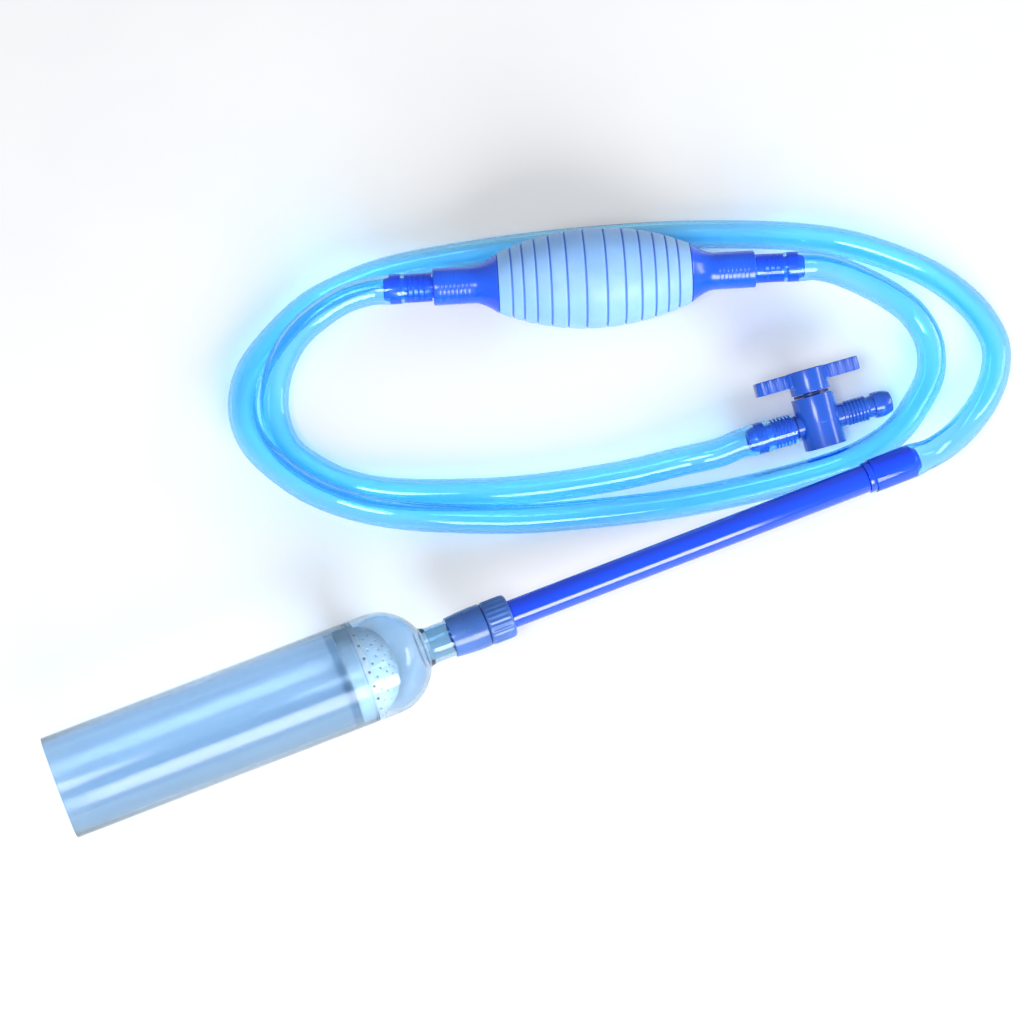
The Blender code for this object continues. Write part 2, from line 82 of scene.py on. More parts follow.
# Wand, x in mm from the mouth
TUBE_R, WALL, TUBE_L = 27.5, 1.8, 166.3
SLEEVE_X, DOME_X, SHOULDER_X, SHOULDER_L = 154.5, 167.8, 179.5, 26.0
NECK_R, NECK_X, NECK_END = 9.8, 207.5, 231.0
ROD_R, ROD_BORE_R, ROD_X, ROD_END = 7.65, 5.75, 240.0, 459.3
SPIGOT_R, SPIGOT_BORE_R, SPIGOT_X, FLANGE_END, SPIGOT_END = 7.6, 4.2, 447.0, 463.0, 490.1

# Where the dome's inner sleeve ends and its neck begins, for their materials, in metres from the mouth. The
# neck's darker copy of the dome's clear material is painted shade; the sleeve's lighter, barely bending copy
# is painted light.
SLEEVE_LOOK_END, NECK_LOOK_X = 0.1675, 0.2060

# Hoses, and how they swell over each barb: (mm from the cut end, inner radius, outer radius)
HOSE_R, BORE_R = 8.0, 6.0
STRAIGHT = 5.0
OVER_SPIGOT = ((0.0, 7.54, 9.2), (23.0, 7.54, 9.2), (35.0, BORE_R, HOSE_R))
OVER_BULB_BARB = ((0.0, 6.3, 7.9), (15.8, 6.3, 7.9), (18.0, 6.9, 8.4), (24.0, 6.9, 8.4),
                  (31.0, BORE_R, HOSE_R))
OVER_TAP_BARB = ((0.0, 6.85, 8.4), (13.0, 6.85, 8.4), (16.0, 7.13, 8.7), (23.0, 7.13, 8.7),
                 (31.0, BORE_R, HOSE_R))
SPIGOT_CUT = FLANGE_END + GAP
BULB_CUT, BARB_TIP = 90.0, 116.9
TAP_CUT, TAP_TIP = 15.0, 41.4

# Spacing in metres of a route's curve and of a hose's rings, and the points round each ring
CURVE_STEP, RING_STEP, HOSE_SIDES = 0.002, 0.0022, 40

LONG_ROUTE = (
    (0.2553, -0.0899, 0.0253), (0.2691, -0.0847, 0.0190), (0.2833, -0.0770, 0.0127),
    (0.2983, -0.0666, 0.0092), (0.3108, -0.0535, 0.0083), (0.3182, -0.0384, 0.0083),
    (0.3182, -0.0209, 0.0083), (0.3135, -0.0046, 0.0083), (0.3037, 0.0136, 0.0083),
    (0.2903, 0.0295, 0.0083), (0.2689, 0.0487, 0.0083), (0.2450, 0.0635, 0.0083),
    (0.1933, 0.0864, 0.0083), (0.1397, 0.1048, 0.0083), (0.0815, 0.1205, 0.0083),
    (0.0217, 0.1317, 0.0083), (-0.0061, 0.1315, 0.0083), (-0.0300, 0.1271, 0.0083),
    (-0.0679, 0.1059, 0.0088), (-0.0800, 0.0902, 0.0112), (-0.0856, 0.0732, 0.0138),
    (-0.0847, 0.0547, 0.0162), (-0.0771, 0.0365, 0.0174), (-0.0666, 0.0200, 0.0176),
    (-0.0497, 0.0036, 0.0170), (-0.0267, -0.0113, 0.0153), (0.0249, -0.0331, 0.0104),
    (0.0559, -0.0431, 0.0087), (0.1231, -0.0609, 0.0083), (0.1934, -0.0710, 0.0083),
    (0.2206, -0.0712, 0.0083), (0.2442, -0.0659, 0.0083), (0.2618, -0.0551, 0.0083),
    (0.2775, -0.0405, 0.0085), (0.2841, -0.0237, 0.0105), (0.2814, -0.0072, 0.0155),
    (0.2732, 0.0051, 0.0205), (0.2630, 0.0162, 0.0243), (0.2495, 0.0289, 0.0272),
)
SHORT_ROUTE = (
    (-0.0003, 0.1150, 0.0278), (-0.0090, 0.1156, 0.0270), (-0.0241, 0.1132, 0.0250),
    (-0.0422, 0.1064, 0.0220), (-0.0565, 0.0945, 0.0175), (-0.0648, 0.0819, 0.0122),
    (-0.0689, 0.0678, 0.0090), (-0.0684, 0.0514, 0.0083), (-0.0607, 0.0360, 0.0083),
    (-0.0473, 0.0203, 0.0083), (-0.0285, 0.0070, 0.0083), (0.0190, -0.0130, 0.0083),
    (0.0452, -0.0213, 0.0083), (0.0720, -0.0281, 0.0084), (0.0991, -0.0339, 0.0093),
    (0.1267, -0.0388, 0.0122), (0.1481, -0.0432, 0.0156),
)

# Camera: where it aims, its direction seen from the aim point, and its lens
AIM = Vector((0.0292, -0.0345, 0.020))
CAMERA_AZ, CAMERA_EL, CAMERA_DISTANCE, LENS = -22.215, 68.0, 1.62, 105.47


# ---------------------------------------------------------------- camera and studio

def toward(azimuth, elevation):
    """Unit vector from the object to a viewer. Azimuth 0 stands at -Y, and elevation is above the table."""
    a, e = math.radians(azimuth), math.radians(elevation)
    return Vector((math.sin(a) * math.cos(e), -math.cos(a) * math.cos(e), math.sin(e)))


def camera():
    back = toward(CAMERA_AZ, CAMERA_EL)
    data = bpy.data.cameras.new("camera")
    data.lens = LENS
    data.sensor_width = 36.0
    data.clip_start = 0.05
    obj = bpy.data.objects.new("camera", data)
    bpy.context.scene.collection.objects.link(obj)
    obj.location = AIM + back * CAMERA_DISTANCE
    obj.rotation_euler = back.to_track_quat("Z", "Y").to_euler()
    bpy.context.scene.camera = obj


def softbox(name, azimuth, elevation, distance, size, power, colour):
    """Rectangular area light that faces the object; size is (width, height) in metres."""
    back = toward(azimuth, elevation)
    data = bpy.data.lights.new(name, "AREA")
    data.shape = "RECTANGLE"
    data.size, data.size_y = size
    data.energy = power
    data.color = colour
    obj = bpy.data.objects.new(name, data)
    bpy.context.scene.collection.objects.link(obj)
    obj.location = AIM + back * distance
    obj.rotation_euler = back.to_track_quat("Z", "Y").to_euler()


def studio():
    world = bpy.data.worlds.new("studio")
    bpy.context.scene.world = world
    world.use_nodes = True
    light = world.node_tree.nodes["Background"]
    light.inputs["Color"].default_value = (0.97, 0.985, 1.0, 1.0)
    light.inputs["Strength"].default_value = 0.41
    softbox("front_box", 2.0, 26.0, 3.0, (1.8, 1.4), 92.0, (1.0, 1.0, 1.0))
    softbox("left_box", -43.0, 62.0, 3.0, (0.8, 0.8), 26.0, (0.99, 0.995, 1.0))
    softbox("right_box", 76.0, 23.0, 3.0, (1.8, 0.5), 22.0, (0.99, 0.995, 1.0))
    mesh = bpy.data.meshes.new("floor")
    side = 4.0
    corners = [(-side, -side, 0), (side, -side, 0), (side, side, 0), (-side, side, 0)]
    mesh.from_pydata(corners, [], [(0, 1, 2, 3)])
    floor = bpy.data.objects.new("floor", mesh)
    bpy.context.scene.collection.objects.link(floor)
    pale = moulded("pale_floor", (0.92, 0.93, 0.94), (0.95, 0.955, 0.96), 0.7, 6.0, coords="Object")
    floor.data.materials.append(pale)
    bpy.context.scene.view_settings.view_transform = "Standard"


# ---------------------------------------------------------------- materials

def graph(name):
    mat = bpy.data.materials.new(name)
    mat.use_nodes = True
    return mat, mat.node_tree, mat.node_tree.nodes["Principled BSDF"]


def place_in(tree, coords, stretch):
    """Texture position on the piece: its own attribute or Blender's object coordinates, stretched."""
    if coords == "Object":
        source = tree.nodes.new("ShaderNodeTexCoord").outputs["Object"]
    else:
        attribute = tree.nodes.new("ShaderNodeAttribute")
        attribute.attribute_name = coords
        source = attribute.outputs["Vector"]
    mapping = tree.nodes.new("ShaderNodeMapping")
    mapping.inputs["Scale"].default_value = stretch
    tree.links.new(source, mapping.inputs["Vector"])
    return mapping.outputs["Vector"]


def noise(tree, at, scale, detail=3.0):
    cloud = tree.nodes.new("ShaderNodeTexNoise")
    cloud.inputs["Scale"].default_value = scale
    cloud.inputs["Detail"].default_value = detail
    tree.links.new(at, cloud.inputs["Vector"])
    return cloud.outputs["Fac"]


def ramp(tree, value, stops):
    """Colour over a value, through (place, colour) stops."""
    node = tree.nodes.new("ShaderNodeValToRGB")
    line = node.color_ramp.elements
    while len(line) < len(stops):
        line.new(0.5)
    for element, (place, colour) in zip(line, stops):
        element.position = place
        element.color = (*colour, 1.0)
    tree.links.new(value, node.inputs["Fac"])
    return node.outputs["Color"]


def spread(tree, value, low, high):
    """Stretches noise, which stays near its middle, over low to high."""
    node = tree.nodes.new("ShaderNodeMapRange")
    node.inputs["From Min"].default_value = 0.3
    node.inputs["From Max"].default_value = 0.7
    node.inputs["To Min"].default_value = low
    node.inputs["To Max"].default_value = high
    tree.links.new(value, node.inputs["Value"])
    return node.outputs["Result"]


def bump(tree, height, depth, shader):
    node = tree.nodes.new("ShaderNodeBump")
    node.inputs["Distance"].default_value = depth
    node.inputs["Strength"].default_value = 1.0
    tree.links.new(height, node.inputs["Height"])
    tree.links.new(node.outputs["Normal"], shader.inputs["Normal"])


def moulded(name, dark, light, rough, grain, depth=0.0, coat=0.0, soft=0.0, stretch=(1, 1, 1), coords="skin"):
    """Opaque moulded plastic or rubber: slow change of colour, uneven gloss and a fine grain."""
    mat, tree, shader = graph(name)
    at = place_in(tree, coords, stretch)
    slow = noise(tree, at, grain)
    tree.links.new(ramp(tree, slow, ((0.35, dark), (0.65, light))), shader.inputs["Base Color"])
    fine = noise(tree, at, grain * 6.0, 4.0)
    tree.links.new(spread(tree, fine, rough * 0.85, rough * 1.2), shader.inputs["Roughness"])
    if depth:
        bump(tree, fine, depth, shader)
    shader.inputs["Coat Weight"].default_value = coat
    shader.inputs["Coat Roughness"].default_value = 0.08
    shader.inputs["Subsurface Weight"].default_value = soft
    shader.inputs["Subsurface Scale"].default_value = 0.004
    shader.inputs["Subsurface Radius"].default_value = (0.4, 0.7, 1.0)
    return mat


def clear(name, pale, deep, rough, shadow, ior=1.46, grain=60.0, stretch=(0.06, 1, 1), depth=0.0,
          absorb=None):
    """See-through plastic whose tint swings between deep and pale through noise, stretched along the piece by
    default; on the hoses and the gravel tube these streaks are painted highlights and reflections. Its shadow
    is the tint of the wall.
    """
    mat, tree, shader = graph(name)
    at = place_in(tree, "skin", stretch)
    streaks = noise(tree, at, grain)
    tree.links.new(ramp(tree, streaks, ((0.36, deep), (0.64, pale))), shader.inputs["Base Color"])
    shader.inputs["Roughness"].default_value = rough
    shader.inputs["Transmission Weight"].default_value = 1.0
    shader.inputs["IOR"].default_value = ior
    if depth:
        bump(tree, noise(tree, at, grain * 2.0), depth, shader)
    veil = tree.nodes.new("ShaderNodeBsdfTransparent")
    veil.inputs["Color"].default_value = (*shadow, 1.0)
    rays = tree.nodes.new("ShaderNodeLightPath")
    mix = tree.nodes.new("ShaderNodeMixShader")
    tree.links.new(rays.outputs["Is Shadow Ray"], mix.inputs["Fac"])
    tree.links.new(shader.outputs["BSDF"], mix.inputs[1])
    tree.links.new(veil.outputs["BSDF"], mix.inputs[2])
    tree.links.new(mix.outputs["Shader"], tree.nodes["Material Output"].inputs["Surface"])
    if absorb:
        colour, density = absorb
        volume = tree.nodes.new("ShaderNodeVolumeAbsorption")
        volume.inputs["Color"].default_value = (*colour, 1.0)
        volume.inputs["Density"].default_value = density
        tree.links.new(volume.outputs["Volume"], tree.nodes["Material Output"].inputs["Volume"])
    return mat


def frosted(name, colour, rough):
    """Milky plastic that lets some light through."""
    mat, tree, shader = graph(name)
    at = place_in(tree, "skin", (1, 1, 1))
    cloud = noise(tree, at, 220.0)
    darker = tuple(c * 0.9 for c in colour)
    tree.links.new(ramp(tree, cloud, ((0.3, darker), (0.7, colour))), shader.inputs["Base Color"])
    tree.links.new(spread(tree, cloud, rough * 0.8, rough * 1.2), shader.inputs["Roughness"])
    shader.inputs["Transmission Weight"].default_value = 0.35
    shader.inputs["IOR"].default_value = 1.45
    return mat


def ribbed(name, dark, light, groove_shade, rough):
    """Satin rubber of the bulb, with painted shade: darker blue where the shade attribute marks its grooves.
    """
    mat, tree, shader = graph(name)
    at = place_in(tree, "skin", (1, 1, 1))
    slow = noise(tree, at, 45.0)
    base = ramp(tree, slow, ((0.35, dark), (0.65, light)))
    mark = tree.nodes.new("ShaderNodeAttribute")
    mark.attribute_name = "shade"
    mix = tree.nodes.new("ShaderNodeMix")
    mix.data_type = "RGBA"
    tree.links.new(mark.outputs["Fac"], mix.inputs["Factor"])
    tree.links.new(base, mix.inputs["A"])
    mix.inputs["B"].default_value = (*groove_shade, 1.0)
    tree.links.new(mix.outputs["Result"], shader.inputs["Base Color"])
    fine = noise(tree, at, 900.0, 4.0)
    tree.links.new(spread(tree, fine, rough * 0.85, rough * 1.15), shader.inputs["Roughness"])
    bump(tree, fine, 0.00006, shader)
    shader.inputs["Subsurface Weight"].default_value = 0.25
    shader.inputs["Subsurface Scale"].default_value = 0.004
    return mat


# ---------------------------------------------------------------- mesh building

def note(mesh, name, kind, values):
    attribute = mesh.attributes.new(name, kind, "POINT")
    key = "vector" if kind == "FLOAT_VECTOR" else "value"
    flat = [c for value in values for c in value] if kind == "FLOAT_VECTOR" else values
    attribute.data.foreach_set(key, flat)


def link(name, verts, faces, place, skin=None):
    """Object at place from points in mm; its skin attribute holds texture positions in metres."""
    mesh = bpy.data.meshes.new(name)
    mesh.from_pydata([Vector(v) * MM for v in verts], [], faces)
    bm = bmesh.new()
    bm.from_mesh(mesh)
    bmesh.ops.recalc_face_normals(bm, faces=bm.faces)
    if bm.calc_volume(signed=True) < 0:
        bmesh.ops.reverse_faces(bm, faces=bm.faces)
    bm.to_mesh(mesh)
    bm.free()
    note(mesh, "skin", "FLOAT_VECTOR", skin or [Vector(v) * MM for v in verts])
    obj = bpy.data.objects.new(name, mesh)
    bpy.context.scene.collection.objects.link(obj)
    obj.matrix_world = place
    return obj


def rounded(loop, fillet=0.3, steps=3):
    """Closed (x, r) loop with its corners eased. A point may give its own fillet as a third number."""
    out = []
    for i, point in enumerate(loop):
        p = Vector(point[:2])
        size = point[2] if len(point) > 2 else fillet
        before, after = Vector(loop[i - 1][:2]) - p, Vector(loop[(i + 1) % len(loop)][:2]) - p
        size = min(size, before.length * 0.45, after.length * 0.45)
        if size < 0.02 or p.y < 1e-6 or math.pi - before.angle(after) < math.radians(14):
            out.append(tuple(p))
            continue
        a, b = p + before.normalized() * size, p + after.normalized() * size
        for k in range(steps + 1):
            t = k / steps
            out.append(tuple(a * (1 - t) ** 2 + p * 2 * t * (1 - t) + b * t * t))
    return out


def turned(name, loop, n, place, ripple=None, shade=None):
    """Solid of revolution about local x through a closed (x, r) loop; r 0 lies on the axis."""
    verts, rings = [], []
    for x, r in loop:
        if r < 1e-6:
            rings.append([len(verts)] * n)
            verts.append((x, 0.0, 0.0))
            continue
        rings.append(list(range(len(verts), len(verts) + n)))
        for k in range(n):
            a = 2 * math.pi * k / n
            rr = r + (ripple(x, r, a) if ripple else 0.0)
            verts.append((x, rr * math.cos(a), rr * math.sin(a)))
    faces = []
    for i, ring in enumerate(rings):
        after = rings[(i + 1) % len(rings)]
        if ring[0] == ring[1] and after[0] == after[1]:
            continue
        for k in range(n):
            m = (k + 1) % n
            quad = [ring[k], after[k], after[m], ring[m]]
            faces.append([v for j, v in enumerate(quad) if v not in quad[:j]])
    obj = link(name, verts, faces, place)
    if shade:
        note(obj.data, "shade", "FLOAT", [shade(x, math.hypot(y, z)) for x, y, z in verts])
    return obj


def upright(name, loop, n, place):
    """Solid of revolution about local z; the loop holds (z, r)."""
    return turned(name, loop, n, place @ Matrix.Rotation(-math.pi / 2, 4, "Y"))


def arc(x0, dx, dr, n, start=0.0, end=90.0):
    """Points of an ellipse from (x0, dr) round to (x0 + dx, 0), over part of its quarter."""
    angles = [math.radians(start + (end - start) * k / n) for k in range(n + 1)]
    return [(x0 + dx * math.sin(a), dr * math.cos(a)) for a in angles]


def combine(obj, others, operation):
    """Boolean of obj with each helper, made real; the helpers are removed."""
    for other in others:
        mod = obj.modifiers.new(operation, "BOOLEAN")
        mod.object = other
        mod.operation = operation
        mod.solver = "EXACT"
    bpy.context.view_layer.update()
    graph_now = bpy.context.evaluated_depsgraph_get()
    mesh = bpy.data.meshes.new_from_object(obj.evaluated_get(graph_now))
    obj.modifiers.clear()
    obj.data = mesh
    for other in others:
        bpy.data.objects.remove(other)
    bm = bmesh.new()
    bm.from_mesh(mesh)
    bmesh.ops.remove_doubles(bm, verts=bm.verts, dist=1e-6)
    bmesh.ops.dissolve_degenerate(bm, edges=bm.edges, dist=1e-6)
    bm.to_mesh(mesh)
    bm.free()
    return obj


def finish_piece(obj, mat, body, slot_name, *nodes, sharp=35.0):
    """Shades the piece, gives it its material, and puts it on its body in place of CAD nodes."""
    obj.data.materials.clear()
    obj.data.materials.append(mat)
    obj.data.shade_smooth()
    obj.data.set_sharp_from_angle(angle=math.radians(sharp))
    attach(obj, body)
    if nodes:
        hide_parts(*nodes)
    return obj


# ---------------------------------------------------------------- hoses

def smooth(points, step):
    """Even points along a curve through the route; the first and last points only set the end directions."""
    q = [Vector(p) for p in points]
    fine = []
    pieces = 24
    for i in range(1, len(q) - 2):
        p0, p1, p2, p3 = q[i - 1:i + 3]
        k0, k1, k2 = (math.sqrt((b - a).length) for a, b in ((p0, p1), (p1, p2), (p2, p3)))
        m1 = ((p1 - p0) / k0 - (p2 - p0) / (k0 + k1) + (p2 - p1) / k1) * k1
        m2 = ((p2 - p1) / k1 - (p3 - p1) / (k1 + k2) + (p3 - p2) / k2) * k1
        for s in range(pieces):
            t = s / pieces
            a, b = 2 * t ** 3 - 3 * t * t + 1, t ** 3 - 2 * t * t + t
            c, d = 3 * t * t - 2 * t ** 3, t ** 3 - t * t
            fine.append(a * p1 + b * m1 + c * p2 + d * m2)
    fine.append(q[-2])
    return evenly(fine, step)


def evenly(points, step):
    """The polyline's own points moved to even spacing, ends kept."""
    dist = [0.0]
    for a, b in zip(points, points[1:]):
        dist.append(dist[-1] + (b - a).length)
    count = round(dist[-1] / step)
    out, j = [], 0
    for k in range(count + 1):
        want = dist[-1] * k / count
        while j < len(points) - 2 and dist[j + 1] < want:
            j += 1
        t = (want - dist[j]) / (dist[j + 1] - dist[j])
        out.append(points[j].lerp(points[j + 1], min(max(t, 0.0), 1.0)))
    return out


def length_of(points):
    return sum((b - a).length for a, b in zip(points, points[1:]))


def on_axis(place, u):
    return place @ Vector((u * MM, 0.0, 0.0))


def radii(distance, stations):
    """Inner and outer radius in mm at a distance in mm from a cut end, eased between stations."""
    for (s0, in0, out0), (s1, in1, out1) in zip(stations, stations[1:]):
        if distance <= s1:
            t = max(0.0, (distance - s0) / (s1 - s0))
            t = t * t * (3 - 2 * t)
            return in0 + (in1 - in0) * t, out0 + (out1 - out0) * t
    return stations[-1][1:]


def hose(name, start, end, route, mat, nodes):
    """Hollow hose in one piece: a cut end over one barb, the route, and a cut end over the other barb."""
    (place_a, cut_a, tip_a, over_a), (place_b, cut_b, tip_b, over_b) = start, end
    a = [on_axis(place_a, u) for u in (cut_a, tip_a, tip_a + STRAIGHT)]
    b = [on_axis(place_b, u) for u in (cut_b, tip_b, tip_b + STRAIGHT)]
    first, last = Vector(route[0]), Vector(route[-1])
    out_a, out_b = (a[2] - a[1]).normalized(), (b[2] - b[1]).normalized()
    before = a[2] - out_a * (first - a[2]).length
    after = b[2] - out_b * (last - b[2]).length
    middle_part = smooth([before, a[2], *route, b[2], after], CURVE_STEP)
    path = evenly([a[0], a[1]] + middle_part + [b[1], b[0]], RING_STEP)
    length = length_of(path)
    n = HOSE_SIDES
    verts, skin, rings = [], [], []
    side = (path[1] - path[0]).orthogonal().normalized()
    for i, p in enumerate(path):
        along = (path[min(i + 1, len(path) - 1)] - path[max(i - 1, 0)]).normalized()
        side = (side - along * side.dot(along)).normalized()
        other = along.cross(side)
        s = length * i / (len(path) - 1)
        inner, outer = min(radii(s / MM, over_a), radii((length - s) / MM, over_b), key=lambda r: -r[1])
        rows = []
        for r in (outer, inner):
            rows.append(list(range(len(verts), len(verts) + n)))
            for k in range(n):
                turn = 2 * math.pi * k / n
                spoke = side * math.cos(turn) + other * math.sin(turn)
                verts.append((p + spoke * r * MM) / MM)
                skin.append(Vector((s, r * MM * math.cos(turn), r * MM * math.sin(turn))))
        rings.append(rows)
    faces = []
    for k in range(n):
        m = (k + 1) % n
        for (out0, in0), (out1, in1) in zip(rings, rings[1:]):
            faces.append((out0[k], out1[k], out1[m], out0[m]))
            faces.append((in0[m], in1[m], in1[k], in0[k]))
        faces.append((rings[0][0][m], rings[0][1][m], rings[0][1][k], rings[0][0][k]))
        faces.append((rings[-1][0][k], rings[-1][1][k], rings[-1][1][m], rings[-1][0][m]))
    obj = link(name, verts, faces, Matrix.Identity(4), skin)
    finish_piece(obj, mat, "siphon", "hose_cyan", *nodes, sharp=50.0)


def hoses():
    # The pale streaks along the hoses are painted highlights: stretched noise swings their tint between the
    # two cyans.
    cyan = clear("clear_cyan_pvc", (0.90, 0.98, 1.0), (0.78, 0.95, 1.0), 0.03, (0.92, 0.98, 1.0), ior=1.45,
                 grain=90.0, stretch=(0.05, 1, 1), depth=0.00012, absorb=((0.14, 0.73, 0.97), 260.0))
    rod_end = (WAND, SPIGOT_CUT, SPIGOT_END, OVER_SPIGOT)
    inlet = (BULB, BULB_CUT, BARB_TIP, OVER_BULB_BARB)
    outlet = (OUTLET, BULB_CUT, BARB_TIP, OVER_BULB_BARB)
    tap_end = (TAP_BACK, TAP_CUT, TAP_TIP, OVER_TAP_BARB)
    hose("long_hose", rod_end, inlet, LONG_ROUTE, cyan,
         ("hose_long", "hose_long_rod_cuff", "hose_long_bulb_cuff"))
    hose("short_hose", outlet, tap_end, SHORT_ROUTE, cyan,
         ("hose_short", "hose_short_bulb_cuff", "hose_short_valve_cuff"))


# ---------------------------------------------------------------- wand

def gravel_tube():
    # Lighter and darker streaks along the tube are painted reflections: stretched noise swings its tint
    # between the two blues.
    glass = clear("clear_tube", (0.67, 0.78, 0.85), (0.58, 0.69, 0.79), 0.15, (0.88, 0.92, 0.97), ior=1.33,
                  grain=140.0, stretch=(0.02, 1, 1), depth=0.00005, absorb=((0.30, 0.50, 0.70), 60.0))
    inside = TUBE_R - WALL
    loop = rounded([(0.0, inside, 0.5), (0.0, TUBE_R, 0.6), (TUBE_L, TUBE_R), (TUBE_L, inside)])
    finish_piece(turned("clear_gravel_tube", loop, 192, WAND), glass, "gravel_tube", "tube_clear",
                 "gravel_tube")

    rubber = clear("seal_silicone", (0.60, 0.74, 0.90), (0.45, 0.60, 0.80), 0.15, (0.75, 0.86, 0.95),
                   ior=1.41)
    x = TUBE_L + GAP
    loop = rounded([(x, inside), (x, TUBE_R - 0.1), (x + 0.9, TUBE_R - 0.1), (x + 0.9, inside)], 0.25)
    finish_piece(turned("seal_ring", loop, 160, WAND), rubber, "siphon", "seal_dark", "tube_seal_ring")

    fit = TUBE_R - WALL - 0.25
    outer = [(SLEEVE_X, fit), (DOME_X, fit), (DOME_X, TUBE_R)]
    outer += arc(SHOULDER_X, SHOULDER_L, TUBE_R, 30, 0.0, 66.0)
    outer += [(204.4, 10.6, 1.2), (NECK_X, NECK_R, 1.5), (NECK_END, NECK_R)]
    inner = [(NECK_END, NECK_R - WALL), (205.5, NECK_R - WALL, 1.0)]
    inner += list(reversed(arc(SHOULDER_X, SHOULDER_L - WALL, TUBE_R - WALL, 24, 8.0, 66.0)))
    inner += [(SHOULDER_X, TUBE_R - WALL - 0.3), (170.5, fit - WALL), (SLEEVE_X, fit - WALL)]
    dome = turned("clear_dome_cap", rounded(outer + inner), 160, WAND)
    shell = clear("clear_dome", (0.78, 0.87, 0.94), (0.62, 0.76, 0.88), 0.09, (0.90, 0.95, 0.99), ior=1.38,
                  grain=40.0, stretch=(1, 1, 1), depth=0.00006, absorb=((0.30, 0.50, 0.70), 40.0))
    # The neck is painted a darker teal-grey on the same clear moulding as the dome: painted shade for its dim
    # bore.
    neck_shade = clear("clear_neck_painted_shade", (0.52, 0.70, 0.82), (0.34, 0.52, 0.66), 0.03, (0.82, 0.90, 0.95))
    # The sleeve's copy is lighter and bends light barely at all: painted light that takes away the dark
    # refraction bands where sleeve and tube overlap.
    sleeve = clear("clear_sleeve", (0.88, 0.93, 0.97), (0.82, 0.89, 0.94), 0.05, (0.94, 0.97, 0.99), ior=1.06)
    finish_piece(dome, shell, "siphon", "tube_clear", "dome_cap")
    dome.data.materials.append(neck_shade)
    dome.data.materials.append(sleeve)
    # Faces past the neck line take the painted-shade copy; faces short of the sleeve line take the lighter
    # copy.
    for face in dome.data.polygons:
        x = face.center.x
        face.material_index = 1 if x > NECK_LOOK_X else 2 if x < SLEEVE_LOOK_END else 0


def strainer():
    """Domed guard with rings of round-ended holes, and a plain rim inside the dome's sleeve."""
    n, rows, rim, bulge, x0 = 120, 30, TUBE_R - 2 * WALL - 0.55, 20.0, 166.0
    plain, holed = 4, 22
    bm = bmesh.new()
    rings = []
    for x in (x0 - 7.0, x0 - 3.5):
        rings.append((x, rim))
    for k in range(rows):
        t = math.pi / 2 * k / rows
        rings.append((x0 + bulge * math.sin(t), rim * math.cos(t)))
    grid = []
    for x, r in rings:
        ring = []
        for k in range(n):
            a = 2 * math.pi * k / n
            ring.append(bm.verts.new(Vector((x, r * math.cos(a), r * math.sin(a))) * MM))
        grid.append(ring)
    tip = bm.verts.new(Vector((x0 + bulge, 0, 0)) * MM)
    for i, (low, high) in enumerate(zip(grid, grid[1:])):
        band = i - plain
        stagger = 3 * (band // 3 % 2)
        for k in range(n):
            hole = 0 <= band < holed and band % 3 == 1 and (k + stagger) % 6 == 1
            if not hole:
                m = (k + 1) % n
                bm.faces.new((low[k], high[k], high[m], low[m]))
    for k in range(n):
        bm.faces.new((grid[-1][k], tip, grid[-1][(k + 1) % n]))
    mesh = bpy.data.meshes.new("frosted_guard")
    bm.to_mesh(mesh)
    bm.free()
    obj = bpy.data.objects.new("frosted_guard", mesh)
    bpy.context.scene.collection.objects.link(obj)
    obj.matrix_world = WAND
    thick = obj.modifiers.new("thick", "SOLIDIFY")
    thick.thickness = 1.2 * MM
    thick.offset = -1.0
    soft = obj.modifiers.new("soft", "SUBSURF")
    soft.levels = soft.render_levels = 1
    bpy.context.view_layer.update()
    obj.data = bpy.data.meshes.new_from_object(obj.evaluated_get(bpy.context.evaluated_depsgraph_get()))
    obj.modifiers.clear()
    note(obj.data, "skin", "FLOAT_VECTOR", [v.co.copy() for v in obj.data.vertices])
    milky = frosted("frosted_guard", (0.74, 0.86, 0.95), 0.5)
    finish_piece(obj, milky, "siphon", "guard_white", "strainer_guard")


def coupling():
    slate = moulded("slate_blue_plastic", (0.030, 0.110, 0.40), (0.048, 0.150, 0.50), 0.3, 60.0, 0.00002,
                    coat=0.3)
    x0, x1 = 218.3, 237.7
    socket, seat, stop, collar_end = NECK_R + 0.25, NECK_END + 3.2, 239.6, 248.0
    bore, collar_r = 5.6, 8.9
    barrel = [(x0 + 0.2 + (x1 - x0 - 0.4) * k / 10, 10.85 + 0.9 * math.sin(math.pi * 0.62 * k / 10))
              for k in range(11)]
    loop = [(x0, socket), (x0, 10.8)] + barrel + [(x1, 11.2), (x1, collar_r), (collar_end, collar_r)]
    loop += [(collar_end, ROD_R + 0.25), (stop, ROD_R + 0.25), (stop, bore), (seat, bore), (seat, socket)]
    finish_piece(turned("coupling_barrel", rounded(loop), 128, WAND), slate, "siphon", "coupling_slate",
                 "coupling_body")

    a, b, ribs, lip, nut_bore = 238.2, 252.2, 26, 249.9, 9.3

    def fluted(x, r, turn):
        inset = min(x - a - 0.9, b - 1.1 - x)
        if r < 11.2 or inset < 0:
            return 0.0
        return 0.20 * min(1.0, inset / 0.6) * math.cos(ribs * turn)

    top = [(a + 0.8 + (b - a - 1.7) * k / 8, 11.6) for k in range(9)]
    loop = [(a, nut_bore), (a, 11.1)] + top
    loop += [(b, 10.9), (b, ROD_R + 0.3), (lip, ROD_R + 0.3), (lip, nut_bore)]
    finish_piece(turned("ribbed_nut", rounded(loop), 10 * ribs, WAND, fluted), slate, "nut", "coupling_slate",
                 "coupling_nut")


